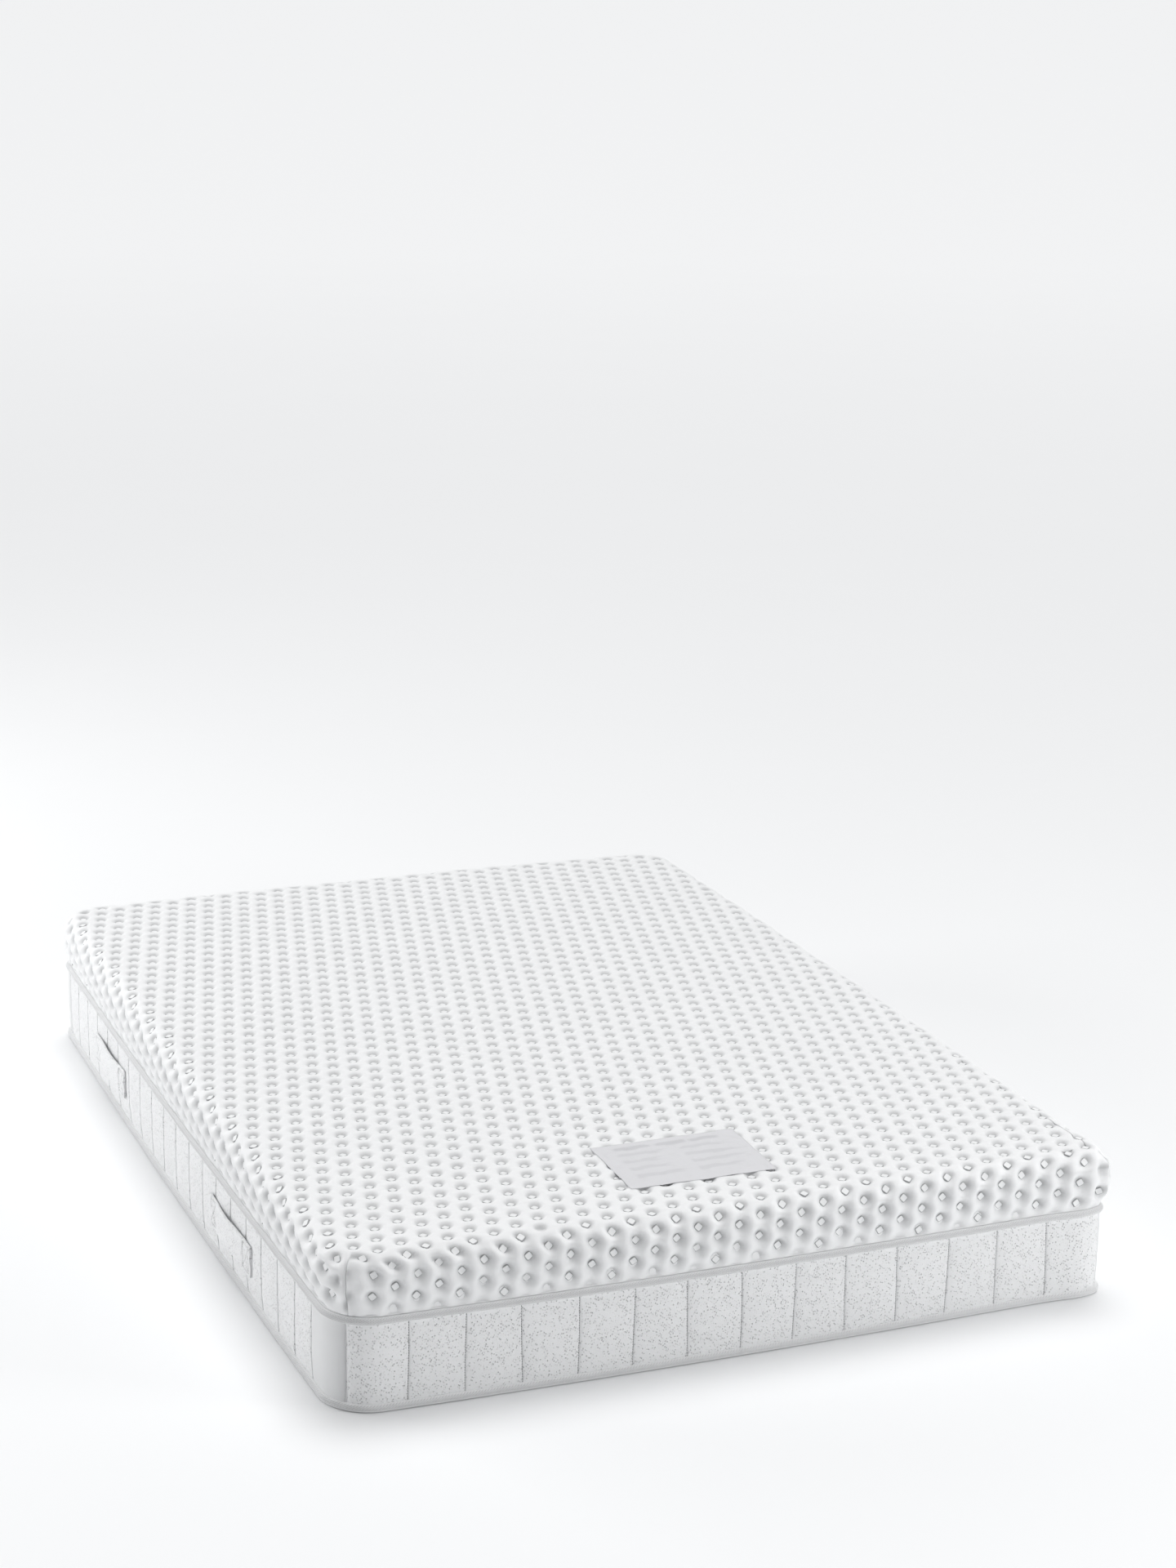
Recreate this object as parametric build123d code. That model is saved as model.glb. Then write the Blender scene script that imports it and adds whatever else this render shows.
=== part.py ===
"""Two-stage double mattress: a quilted base unit, handles, foam layers and a zip-off embossed cover.

Millimetres, +Z up. The origin is on the floor, under the middle of the mattress.
X runs across the width, Y along the length, and -Y is the foot end that faces the viewer.
"""
from build123d import *
import os

# Plan outline, measured to the tape edges
WIDTH = 1350.0
LENGTH = 1900.0
SIDE_BOW = 9.0            # how far the long sides belly out at their middle
END_BOW = 14.0            # the same for the short ends
CORNER_R = 80.0

# Base unit, from the floor up
BASE_H = 156.0
TAPE_H = 13.0             # height of each tape edge
TAPE_T = 5.0
FLOOR_CLOTH_T = 2.5
PLATFORM_Z = 150.0        # underside of the cloth that closes the base
PLATFORM_T = 2.0
BORDER_IN = 2.0           # the quilted border stands this far inside the tapes
BORDER_T = 8.0
WADDING_T = 12.0
SEAM_X = 645.0            # border strips are joined here, just round each corner

# Comfort section
TOTAL_H = 258.0
GROOVE_H = 4.0            # dark line between the upper tape and the cover, where the zip lies
COVER_OUT = 6.0           # the padded cover bellies out past the tape by this much
COVER_T = 10.5
COVER_EDGE_R = 34.0
LINER_OUT = -7.5
LINER_T = 1.5
LINER_EDGE_R = 22.0
LINER_TOP = 246.5
FOAM_SPLIT_Z = 200.0      # the memory foam starts here, on the transition foam
FOAM_CLEAR = 0.2

# Zip
ZIP_OUT = -5.0
ZIP_T = 2.0
ZIP_LOW_Z = 146.0
ZIP_MEET_Z = 158.0
ZIP_TOP_Z = 166.0
ZIP_GAP = 0.2             # half the gap between the two rows of teeth
SLIDER = (12.0, 4.5, 3.2)
SLIDER_X = 250.0
SLIDER_STAND_OFF = 0.9    # keeps it clear of the teeth where the end bellies out most
PULL = (6.0, 1.4, 25.0)
PULL_PIVOT = (SLIDER_X, LENGTH / 2 + 2.1, ZIP_MEET_Z)
PULL_EYE_R = 1.4          # rolled eye at the top of the tab
PULL_HOLE_R = 0.8
PULL_PIN_R = 0.6
EAR_T = 1.2               # the slider's two ears, which hold the pin
EAR_GAP = 0.3

# Carrying handles, padded straps sewn flat at both ends
HANDLE_Y = {"foot": -390.0, "head": 470.0}
HANDLE_LEN = 236.0
HANDLE_H = 55.0
HANDLE_Z = 78.0
HANDLE_T = 6.0
HANDLE_END = 42.0         # length of each sewn end
HANDLE_GAP = 9.0          # finger gap at the middle of the strap
GRIP_CLEAR = 0.5

LABEL = (255.0, 175.0, 0.8)
LABEL_AT = (-18.0, -748.0)


def outline(grow=0.0):
    """Plan of the mattress: four bellied sides with rounded corners, grown or shrunk by grow."""
    long_x, long_y = WIDTH / 2 + grow, LENGTH / 2 + grow
    x, y = long_x - SIDE_BOW, long_y - END_BOW
    sides = [
        ThreePointArc((-x, -y), (0, -long_y), (x, -y)),
        ThreePointArc((x, -y), (long_x, 0), (x, y)),
        ThreePointArc((x, y), (0, long_y), (-x, y)),
        ThreePointArc((-x, y), (-long_x, 0), (-x, -y)),
    ]
    edge = Wire(sides)
    return Face(edge.fillet_2d(CORNER_R + grow, edge.vertices()))


def slab(grow, low, high, edge_r=0.0):
    """Solid on the plan outline between two heights, with its top edge rounded by edge_r."""
    solid = extrude(Pos(0, 0, low) * outline(grow), high - low, dir=(0, 0, 1))
    if edge_r:
        solid = fillet(solid.faces().sort_by(Axis.Z)[-1].edges(), edge_r)
    return solid


def ring(grow, thickness, low, high):
    """Upright band that follows the plan outline."""
    return slab(grow, low, high) - slab(grow - thickness, low - 1, high + 1)


def block(x_range, y_range, z_range):
    """Axis-aligned box between the given limits."""
    size = [high - low for low, high in (x_range, y_range, z_range)]
    middle = [(high + low) / 2 for low, high in (x_range, y_range, z_range)]
    return Pos(*middle) * Box(*size)


def border_panels():
    """The quilted border: two short end strips, and two long strips that wrap the corners."""
    band = ring(-BORDER_IN, BORDER_T, TAPE_H, BASE_H - TAPE_H)
    far = 2 * LENGTH
    z_range = (0, BASE_H)
    return {
        "border_panel_foot": band & block((-SEAM_X, SEAM_X), (-far, 0), z_range),
        "border_panel_head": band & block((-SEAM_X, SEAM_X), (0, far), z_range),
        "border_panel_left": band & block((-far, -SEAM_X), (-far, far), z_range),
        "border_panel_right": band & block((SEAM_X, far), (-far, far), z_range),
    }


def base_unit():
    """Everything of the lower unit but its border panels and handles."""
    inner = -(BORDER_IN + BORDER_T)
    return {
        "underside_cloth": slab(-TAPE_T, 0, FLOOR_CLOTH_T),
        "lower_tape_edge": ring(0, TAPE_T, 0, TAPE_H),
        "upper_tape_edge": ring(0, TAPE_T, BASE_H - TAPE_H, BASE_H),
        "border_wadding": ring(inner, WADDING_T, FLOOR_CLOTH_T, PLATFORM_Z),
        "support_foam_core": slab(inner - WADDING_T, FLOOR_CLOTH_T, PLATFORM_Z),
        "platform_cloth": slab(LINER_OUT - 0.5, PLATFORM_Z, PLATFORM_Z + PLATFORM_T),
    }


def comfort_layers():
    """Two foam layers in their knitted liner, on top of the base unit."""
    low = PLATFORM_Z + PLATFORM_T
    inner_r = LINER_EDGE_R - LINER_T
    liner = slab(LINER_OUT, low, LINER_TOP, LINER_EDGE_R)
    liner -= slab(LINER_OUT - LINER_T, low + LINER_T, LINER_TOP - LINER_T, inner_r)
    foam_out = LINER_OUT - LINER_T - FOAM_CLEAR
    foam_low = low + LINER_T
    foam_high = LINER_TOP - LINER_T - FOAM_CLEAR
    return {
        "foam_liner": liner,
        "transition_foam_layer": slab(foam_out, foam_low, FOAM_SPLIT_Z),
        "memory_foam_layer": slab(foam_out, FOAM_SPLIT_Z, foam_high, inner_r),
    }


def embossed_cover():
    """Padded knit cover: a lid of even thickness, open below, that drops over the foam."""
    low = BASE_H + GROOVE_H
    lid = slab(COVER_OUT, low, TOTAL_H, COVER_EDGE_R)
    lid -= slab(COVER_OUT - COVER_T, low - 1, TOTAL_H - COVER_T, COVER_EDGE_R - COVER_T)
    return lid - label()


def rod(radius, length, centre):
    """Round rod along X."""
    return Pos(*centre) * Rot(0, 90, 0) * Cylinder(radius, length)


def zip_slider():
    """Slider body with two ears and the pin that the pull tab hangs on."""
    length, depth, height = SLIDER
    x, y, z = PULL_PIVOT
    back = LENGTH / 2 + ZIP_OUT + SLIDER_STAND_OFF
    body = Pos(x, back + depth / 2, z) * Box(length, depth, height)
    body = fillet(body.edges().filter_by(Axis.Z), 1.0)
    ear_in = PULL[0] / 2 + EAR_GAP
    for sign in (-1, 1):
        x_range = sorted((x + sign * ear_in, x + sign * (ear_in + EAR_T)))
        body += block(x_range, (back + depth - 0.5, y + 1.0), (z - 1.0, z + 1.0))
    return body + rod(PULL_PIN_R, 2 * ear_in + EAR_T, PULL_PIVOT)


def zip_pull_tab():
    """Flat tab with a rolled eye at its top, which turns on the slider's pin."""
    width, thick, drop = PULL
    x, y, z = PULL_PIVOT
    tab = Pos(x, y, z - drop / 2) * Box(width, thick, drop)
    tab = fillet(tab.edges().filter_by(Axis.Y), 1.1)
    tab += rod(PULL_EYE_R, width, PULL_PIVOT)
    return tab - rod(PULL_HOLE_R, width + 2, PULL_PIVOT)


def zip_parts():
    """The two zip tapes right round the groove, and the slider with its pull tab at the head end."""
    return {
        "zip_tape_lower": ring(ZIP_OUT, ZIP_T, ZIP_LOW_Z, ZIP_MEET_Z - ZIP_GAP),
        "zip_tape_upper": ring(ZIP_OUT + 0.5, ZIP_T, ZIP_MEET_Z + ZIP_GAP, ZIP_TOP_Z),
        "zip_slider": zip_slider(),
        "zip_pull_tab": zip_pull_tab(),
    }


def handle(side, middle_y, base_solid):
    """One strap handle: its two sewn ends in one node, and the loose grip between them."""
    face_x = WIDTH / 2 - BORDER_IN - SIDE_BOW * (middle_y / (LENGTH / 2)) ** 2
    half = HANDLE_LEN / 2
    grip_half = half - HANDLE_END - GRIP_CLEAR
    z_range = (HANDLE_Z - HANDLE_H / 2, HANDLE_Z + HANDLE_H / 2)
    outer = tuple(sorted((side * (face_x - 6), side * (face_x + HANDLE_T))))
    ends = Part()
    for sign in (-1, 1):
        y_range = sorted((middle_y + sign * (half - HANDLE_END), middle_y + sign * half))
        ends += block(outer, y_range, z_range)
    ends -= base_solid

    def bowed(stand_off, middle):
        start = (side * (face_x + stand_off), middle_y - grip_half)
        crown = (side * (face_x + middle), middle_y)
        stop = (side * (face_x + stand_off), middle_y + grip_half)
        return ThreePointArc(start, crown, stop)

    inner_edge = bowed(1.0, HANDLE_GAP)
    outer_edge = bowed(1.0 + HANDLE_T, HANDLE_GAP + HANDLE_T)
    caps = [Line(inner_edge @ 0, outer_edge @ 0), Line(inner_edge @ 1, outer_edge @ 1)]
    section = make_face(Curve() + [inner_edge, outer_edge] + caps)
    grip = extrude(Pos(0, 0, z_range[0]) * section, HANDLE_H, dir=(0, 0, 1))
    return ends, grip


def handles():
    """Four handles, two on each long side."""
    base_solid = slab(-BORDER_IN, 0, BASE_H)
    parts = {}
    for side_name, side in (("left", -1), ("right", 1)):
        for place, middle_y in HANDLE_Y.items():
            ends, grip = handle(side, middle_y, base_solid)
            parts[f"handle_ends_{side_name}_{place}"] = ends
            parts[f"handle_grip_{side_name}_{place}"] = grip
    return parts


def label():
    """Thin printed label near the foot end, pressed flush into the soft top of the cover."""
    return Pos(*LABEL_AT, TOTAL_H - LABEL[2] / 2) * Box(*LABEL)


def main():
    os.makedirs("parts", exist_ok=True)
    nodes = {**base_unit(), **border_panels(), **comfort_layers(), **zip_parts(), **handles()}
    nodes["embossed_cover"] = embossed_cover()
    nodes["care_label"] = label()
    for name, shape in nodes.items():
        export_step(shape, f"parts/{name}.step")


main()
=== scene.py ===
"""Looks of the two-stage mattress: embossed cover, quilted border, tapes, handles, label, zip, fillings.

Metres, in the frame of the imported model. -Y is the foot end, which faces the camera.
"""
import math

import bpy
import numpy as np
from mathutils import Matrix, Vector


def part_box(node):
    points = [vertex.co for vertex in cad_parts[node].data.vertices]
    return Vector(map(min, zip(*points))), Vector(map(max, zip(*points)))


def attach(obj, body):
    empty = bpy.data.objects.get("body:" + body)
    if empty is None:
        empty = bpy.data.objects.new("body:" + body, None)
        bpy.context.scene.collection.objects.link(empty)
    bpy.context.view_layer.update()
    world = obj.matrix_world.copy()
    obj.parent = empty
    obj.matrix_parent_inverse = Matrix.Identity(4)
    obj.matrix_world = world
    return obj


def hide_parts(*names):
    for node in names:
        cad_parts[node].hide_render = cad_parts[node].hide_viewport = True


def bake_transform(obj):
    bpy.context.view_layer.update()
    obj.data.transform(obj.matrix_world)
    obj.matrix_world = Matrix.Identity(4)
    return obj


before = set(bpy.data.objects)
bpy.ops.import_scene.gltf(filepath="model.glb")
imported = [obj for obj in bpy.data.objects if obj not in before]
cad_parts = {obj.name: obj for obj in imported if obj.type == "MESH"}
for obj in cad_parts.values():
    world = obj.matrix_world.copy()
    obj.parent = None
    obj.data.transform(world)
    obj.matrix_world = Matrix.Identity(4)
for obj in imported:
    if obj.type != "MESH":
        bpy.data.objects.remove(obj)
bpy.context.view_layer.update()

# Plan outline, taken from the upper tape edge
TAPE_LOW, TAPE_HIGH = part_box("upper_tape_edge")
HALF_X, HALF_Y = TAPE_HIGH.x, TAPE_HIGH.y
SIDE_BOW = 0.009
END_BOW = 0.014
CORNER_R = 0.080
CORNER_PUSH = 0.020

# Base unit
BASE_TOP = TAPE_HIGH.z
TAPE_H = TAPE_HIGH.z - TAPE_LOW.z
TAPE_T = 0.005
TAPE_BELLY = 0.0048
RIB_PITCH = 0.0049
RIB_SLOPE = 0.62
BORDER_IN = 0.002
BORDER_T = 0.008
BORDER_PUFF = 0.0042
QUILT_SLIT = 0.0019
SIDE_FLARE = 0.012
END_PITCH = 0.0921        # between quilt lines on the foot and head ends
SIDE_PITCH = 0.08885      # and on the long sides
SIDE_FIRST_Y = -0.821
SIDE_LINES = 20
END_LINES = 13
SEAM_X = 0.645

# Cover
COVER_LOW, COVER_TOP = (corner.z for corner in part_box("embossed_cover"))
COVER_OUT = 0.006
COVER_EDGE_R = 0.034
COVER_HEM_Z = BASE_TOP + 0.0003
COVER_HEM_OUT = -0.0004   # the hem tucks in behind the tape
COVER_HEM_IN = -0.0042
DIMPLE_DEPTH = 0.0054
PILLOW_DEPTH = 0.0009      # slow dip of the knit towards each dimple
DIMPLE_FLAT = 0.0062
DIMPLE_RIM = 0.0148
SIDE_HOLLOW = 0.0044       # wide hollow round each dimple on the sides
SIDE_FURROW = 0.0042
PUCK_HALF = 0.0062
PUCK_LIFT = 0.0009         # of the spots on the sides, off the floor of their dimples
LATTICE_AT = np.array([0.0212, -0.2993])
LATTICE_COLUMN = np.array([0.01045, 0.03879])
LATTICE_NEXT = np.array([0.04141, 0.01528])
FOOT_SHEAR = 0.21         # the columns lean less once they are over the foot edge
FOOT_STRETCH = (0.0555, 0.030)   # and the knit is drawn in there, left and right of the middle
FOOT_SHIFT = 0.0025
SEAM_TURN = math.radians(40)
SHADE_HEADING = np.array([0.47, 0.88])   # the way the painted shade leans across each dimple: the walls are darkest on the side this points to

# Handles
HANDLE_Y = {"foot": -0.390, "head": 0.470}
HANDLE_LEN = 0.236
HANDLE_H = 0.055
HANDLE_Z = 0.078
HANDLE_T = 0.006
HANDLE_END = 0.042
STRAP_BASE = BORDER_PUFF * 0.8 - BORDER_IN
STRAP_STAND_OFF = 0.0026   # gap behind the loose middle, as far as the strap sags back to the border

# Stitches and fillings
STITCH_PITCH = 0.0042
FILLING_STEP = 0.024       # between mesh stations round the foams and cloths

# Knit pattern and colour
PITS_PER_M = 270
PIT_DEPTH = 0.0014
GREY_COOL = 0.006         # how far every grey leans to blue

# Label, camera, floor and light
LABEL_SIZE = (0.255, 0.175)
LABEL_AT = (-0.018, -0.748)

CAMERA_AT = (-1.8898, -4.8746, 2.0919)
CAMERA_TURN = (75.085, -0.955, -22.071)
CAMERA_LENS = 68.58

FLOOR_FLAT = 60.0
FLOOR_SLOPE = 0.03
FLOOR_EASE = (2.0, 22.0)   # distances between which the floor gets lighter
SKY_COLOUR = (0.965, 0.97, 0.98, 1)
SKY_STRENGTH = 0.35
# direction, strength, spread in degrees
SUNS = {
    "soft_key": ((-0.18, -0.32, -1.0), 1.06, 30),
    "overhead": ((-0.02, -0.04, -1.0), 0.84, 44),
}
# place, target, size, power
AREA_LIGHTS = {
    "right_front": ((3.0, -3.0, 1.0), (0.75, -0.95, 0.12), (1.2, 1.2), 45),
    "left_side": ((-3.8, 2.6, 1.2), (-0.675, 0.0, 0.1), (3.0, 1.4), 84),
}


def smooth(x, low=0.0, high=1.0):
    """0 below low, 1 above high, and an even ease between them."""
    t = np.clip((x - low) / (high - low), 0, 1)
    return t * t * (3 - 2 * t)


def hump(x, width):
    """1 where x is 0, falling off on both sides over about a width."""
    return np.exp(-(x / width) ** 2)


def unit(vectors):
    return vectors / np.linalg.norm(vectors, axis=-1, keepdims=True)


# ---- plan outline

def arc(centre, radius, start, stop, count):
    turn = np.linspace(start, stop, count)
    ray = np.stack([np.cos(turn), np.sin(turn)], 1)
    return centre + radius * ray, ray


def heading(vector):
    return math.atan2(vector[1], vector[0])


def quarter_outline():
    """From the middle of the foot end to the middle of the right side: end arc, corner, side arc."""
    end_r = ((HALF_X - SIDE_BOW) ** 2 + END_BOW ** 2) / (2 * END_BOW)
    side_r = ((HALF_Y - END_BOW) ** 2 + SIDE_BOW ** 2) / (2 * SIDE_BOW)
    end_c = np.array([0.0, end_r - HALF_Y])
    side_c = np.array([HALF_X - side_r, 0.0])
    apart = np.linalg.norm(side_c - end_c)
    ahead = (side_c - end_c) / apart
    along = ((end_r - CORNER_R) ** 2 - (side_r - CORNER_R) ** 2 + apart ** 2) / (2 * apart)
    across = math.sqrt((end_r - CORNER_R) ** 2 - along ** 2)
    corner_c = end_c + along * ahead + across * np.array([-ahead[1], ahead[0]])
    first, second = heading(corner_c - end_c), heading(corner_c - side_c)
    pieces = [
        arc(end_c, end_r, -math.pi / 2, first, 160),
        arc(corner_c, CORNER_R, first, second, 60),
        arc(side_c, side_r, second, 0, 160),
    ]
    points = np.concatenate([p[:-1] for p, _ in pieces])
    rays = np.concatenate([r[:-1] for _, r in pieces])
    return points, rays, end_r * (first + math.pi / 2), CORNER_R * (second - first)


def full_corner(loop_p, loop_n):
    """The foot end's right corner is packed fuller and squarer than the other three."""
    corner = np.array([HALF_X, -HALF_Y])
    away = np.linalg.norm(loop_p - corner, axis=1)
    aim = (corner - loop_p) / away[:, None]
    push = CORNER_PUSH * hump(away - away.min(), 0.055) + 0.004 * hump(away, 0.25)
    moved = loop_p + aim * 0.7 * push[:, None] + loop_n * 0.3 * push[:, None]
    steps = np.roll(moved, -1, 0) - np.roll(moved, 1, 0)
    steps[0] = moved[1] - moved[-2]
    steps[-1] = steps[0]
    return moved, unit(np.column_stack([steps[:, 1], -steps[:, 0]]))


def outline_loop():
    """The closed outline as points, outward normals and lengths from the middle of the foot end."""
    points, rays, bend, bend_len = quarter_outline()
    middle = np.array([[HALF_X, 0.0]])
    points, rays = np.concatenate([points, middle]), np.concatenate([rays, [[1.0, 0.0]]])
    flip = np.array([1, -1])
    half_p = np.concatenate([points[:-1], points[::-1] * flip])
    half_n = np.concatenate([rays[:-1], rays[::-1] * flip])
    loop_p = np.concatenate([half_p[:-1], -half_p])
    loop_n = np.concatenate([half_n[:-1], -half_n])
    steps = np.linalg.norm(np.diff(loop_p, axis=0), axis=1)
    loop_u = np.concatenate([[0], np.cumsum(steps)])
    return *full_corner(loop_p, loop_n), loop_u, bend, bend_len


LOOP_P, LOOP_N, LOOP_U, BEND, BEND_LEN = outline_loop()
LOOP_LEN = LOOP_U[-1]
QUARTER = LOOP_LEN / 4
MID_CORNER = BEND + BEND_LEN / 2
SEAM_U = BEND + SEAM_TURN * CORNER_R


def outline(u):
    """Outline point and outward normal at length u from the middle of the foot end, towards +X."""
    u = np.mod(u, LOOP_LEN)
    point = np.stack([np.interp(u, LOOP_U, LOOP_P[:, k]) for k in (0, 1)], -1)
    normal = np.stack([np.interp(u, LOOP_U, LOOP_N[:, k]) for k in (0, 1)], -1)
    return point, unit(normal)


def stations(start, stop, step, close=(), close_step=0.0028, reach=0.016):
    """Places from start to stop about a step apart, and closer together around each close place."""
    fine = np.linspace(start, stop, 6000)
    gap = np.full(len(fine), step)
    for place in close:
        gap = np.minimum(gap, step - (step - close_step) * hump(fine - place, reach))
    count = np.concatenate([[0], np.cumsum(np.diff(fine) / gap[1:])])
    total = max(2, round(count[-1]))
    return np.interp(np.linspace(0, count[-1], total + 1), count, fine)


def loop_stations(step, **near):
    """Stations right round, starting at the left foot corner, with the counts of an end and a side."""
    foot = stations(-MID_CORNER, MID_CORNER, step, **near)
    right = stations(MID_CORNER, 2 * QUARTER - MID_CORNER, step, **near)
    around = [foot, right, foot + 2 * QUARTER, right + 2 * QUARTER]
    return np.concatenate([a[:-1] for a in around]), len(foot) - 1, len(right) - 1


# ---- mesh helpers

def span(ring, across, up):
    """Grid of points that fills a closed ring, whose four corners are its four turning points."""
    ring = np.concatenate([ring, ring[:1]])
    low = ring[:across + 1]
    right = ring[across:across + up + 1]
    high = ring[across + up:2 * across + up + 1][::-1]
    left = ring[2 * across + up:][::-1]
    s = np.linspace(0, 1, across + 1)[None, :, None]
    t = np.linspace(0, 1, up + 1)[:, None, None]
    ends = (1 - t) * low[None] + t * high[None]
    sides = (1 - s) * left[:, None] + s * right[:, None]
    corners = (1 - s) * ((1 - t) * low[0] + t * high[0]) + s * ((1 - t) * low[-1] + t * high[-1])
    return ends + sides - corners


def span_index(ring_index, first, across, up):
    """Vertex numbers of that grid: its edge is the ring's, and its inside is numbered from first."""
    grid = np.zeros((up + 1, across + 1), int)
    grid[1:-1, 1:-1] = first + np.arange((up - 1) * (across - 1)).reshape(up - 1, across - 1)
    ring_index = np.append(ring_index, ring_index[0])
    grid[0] = ring_index[:across + 1]
    grid[:, -1] = ring_index[across:across + up + 1]
    grid[-1] = ring_index[across + up:2 * across + up + 1][::-1]
    grid[:, 0] = ring_index[2 * across + up:][::-1]
    return grid


def quads(index, wrap=False):
    """Faces between neighbouring rows and columns of a grid of vertex numbers."""
    if wrap:
        index = np.concatenate([index, index[:, :1]], 1)
    corners = [index[:-1, :-1], index[:-1, 1:], index[1:, 1:], index[1:, :-1]]
    return np.stack(corners, -1).reshape(-1, 4)


def numbered(grid):
    """Vertex numbers of a grid of points, row by row."""
    return np.arange(grid.shape[0] * grid.shape[1]).reshape(grid.shape[:2])


def ring_at(plan, normal, grow, z):
    """Points of the plan outline pushed out by grow, at height z."""
    flat = plan + normal * np.reshape(grow, (-1, 1))
    return np.column_stack([flat, np.broadcast_to(z, len(flat))])


def level(normal):
    """A plan direction as a level direction in space."""
    return np.column_stack([normal, np.zeros(len(normal))])


def copies(local, faces, centre, first, second, third):
    """A small shape put at every centre, lined up with three directions there."""
    points = (centre[:, None] + local[None, :, :1] * first[:, None] + local[None, :, 1:2] * second[:, None]
              + local[None, :, 2:] * third[:, None])
    size = len(local)
    return points.reshape(-1, 3), [[v + size * k for v in face] for k in range(len(centre)) for face in faces]


def add_object(name, data):
    made = bpy.data.objects.new(name, data)
    bpy.context.scene.collection.objects.link(made)
    return made


def piece(name, points, faces, material, body, uv=None, tone=None, replaces=()):
    """Mesh object that rides on a body. tone is a share for each vertex that its material may use."""
    mesh = bpy.data.meshes.new(name)
    mesh.from_pydata(np.asarray(points, float).reshape(-1, 3).tolist(), [], [list(f) for f in faces])
    if uv is not None:
        layer = mesh.uv_layers.new(name="cloth")
        corner = np.zeros(len(mesh.loops), int)
        mesh.loops.foreach_get("vertex_index", corner)
        layer.data.foreach_set("uv", np.asarray(uv, float).reshape(-1, 2)[corner].ravel())
    if tone is not None:
        values = np.asarray(tone, float).ravel()
        mesh.attributes.new("tone", "FLOAT", "POINT").data.foreach_set("value", values)
    mesh.shade_smooth()
    mesh.materials.append(material)
    obj = add_object(name, mesh)
    if body:
        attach(obj, body)
    if replaces:
        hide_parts(*replaces)
    return obj


def rise(points, normals, amount):
    return points + normals * np.asarray(amount)[..., None]


def wander(x, y, size):
    """Slow unevenness between -1 and 1, from a few crossing waves."""
    a = np.sin(x / size * 2.1 + 1.3 * np.sin(y / size * 1.7 + 0.4))
    b = np.sin(y / size * 2.6 + 1.1 * np.sin(x / size * 1.3 + 2.1))
    return 0.5 * (a + b)


# ---- materials

class Shader:
    """A principled material, and short ways to add and join its nodes."""

    def __init__(self, name, roughness=0.9, sheen=0.25, metallic=0.0):
        self.material = bpy.data.materials.new(name)
        self.material.use_nodes = True
        self.tree = self.material.node_tree
        self.main = self.tree.nodes["Principled BSDF"]
        self.main.inputs["Roughness"].default_value = roughness
        self.main.inputs["Sheen Weight"].default_value = sheen
        self.main.inputs["Sheen Roughness"].default_value = 0.6
        self.main.inputs["Metallic"].default_value = metallic
        place = self.tree.nodes.new("ShaderNodeTexCoord")
        self.solid, self.cloth = place.outputs["Object"], place.outputs["UV"]
        self.tone = self.node("ShaderNodeAttribute", {}, output=2, attribute_name="tone")

    def node(self, kind, inputs, output=0, **settings):
        made = self.tree.nodes.new(kind)
        for key, value in settings.items():
            setattr(made, key, value)
        for key, value in inputs.items():
            if isinstance(value, bpy.types.NodeSocket):
                self.tree.links.new(value, made.inputs[key])
            else:
                made.inputs[key].default_value = value
        return made.outputs[output]

    def math(self, how, a, b=0.0, clamp=False):
        return self.node("ShaderNodeMath", {0: a, 1: b}, operation=how, use_clamp=clamp)

    def times(self, a, b, clamp=False):
        return self.math("MULTIPLY", a, b, clamp)

    def plus(self, a, b, clamp=False):
        return self.math("ADD", a, b, clamp)

    def cloth_axis(self, axis):
        return self.node("ShaderNodeSeparateXYZ", {0: self.cloth}, output=axis)

    def ease(self, value, low, high, to_low=0.0, to_high=1.0):
        inputs = {"Value": value, "From Min": low, "From Max": high, "To Min": to_low, "To Max": to_high}
        return self.node("ShaderNodeMapRange", inputs, interpolation_type="SMOOTHSTEP")

    def turn(self, vector, angle=(0, 0, 0), scale=(1, 1, 1)):
        return self.node("ShaderNodeMapping", {"Vector": vector, "Rotation": angle, "Scale": scale})

    def noise(self, vector, scale, detail=3.0):
        return self.node("ShaderNodeTexNoise", {"Vector": vector, "Scale": scale, "Detail": detail})

    def cells(self, vector, scale, randomness=1.0):
        inputs = {"Vector": vector, "Scale": scale, "Randomness": randomness}
        return self.node("ShaderNodeTexVoronoi", inputs)

    def wave(self, vector, scale, distortion=0.0, direction="X"):
        inputs = {"Vector": vector, "Scale": scale, "Distortion": distortion}
        return self.node("ShaderNodeTexWave", inputs, output=1, bands_direction=direction)

    def blend(self, share, low, high):
        return self.node("ShaderNodeMix", {"Factor": share, 6: low, 7: high}, output=2, data_type="RGBA")

    def colour(self, share, low, high):
        """Sets the base colour, from low where share is 0 to high where it is 1."""
        self.tree.links.new(self.blend(share, low, high), self.main.inputs["Base Color"])

    def bump(self, *layers):
        """Adds bump layers, each a (height, distance) pair."""
        below = {}
        for height, distance in layers:
            inputs = {"Height": height, "Distance": distance, "Strength": 1.0, **below}
            below = {"Normal": self.node("ShaderNodeBump", inputs)}
        self.tree.links.new(below["Normal"], self.main.inputs["Normal"])


def grey(value):
    """Slightly cool grey."""
    return value - GREY_COOL, value, value + GREY_COOL, 1.0


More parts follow.
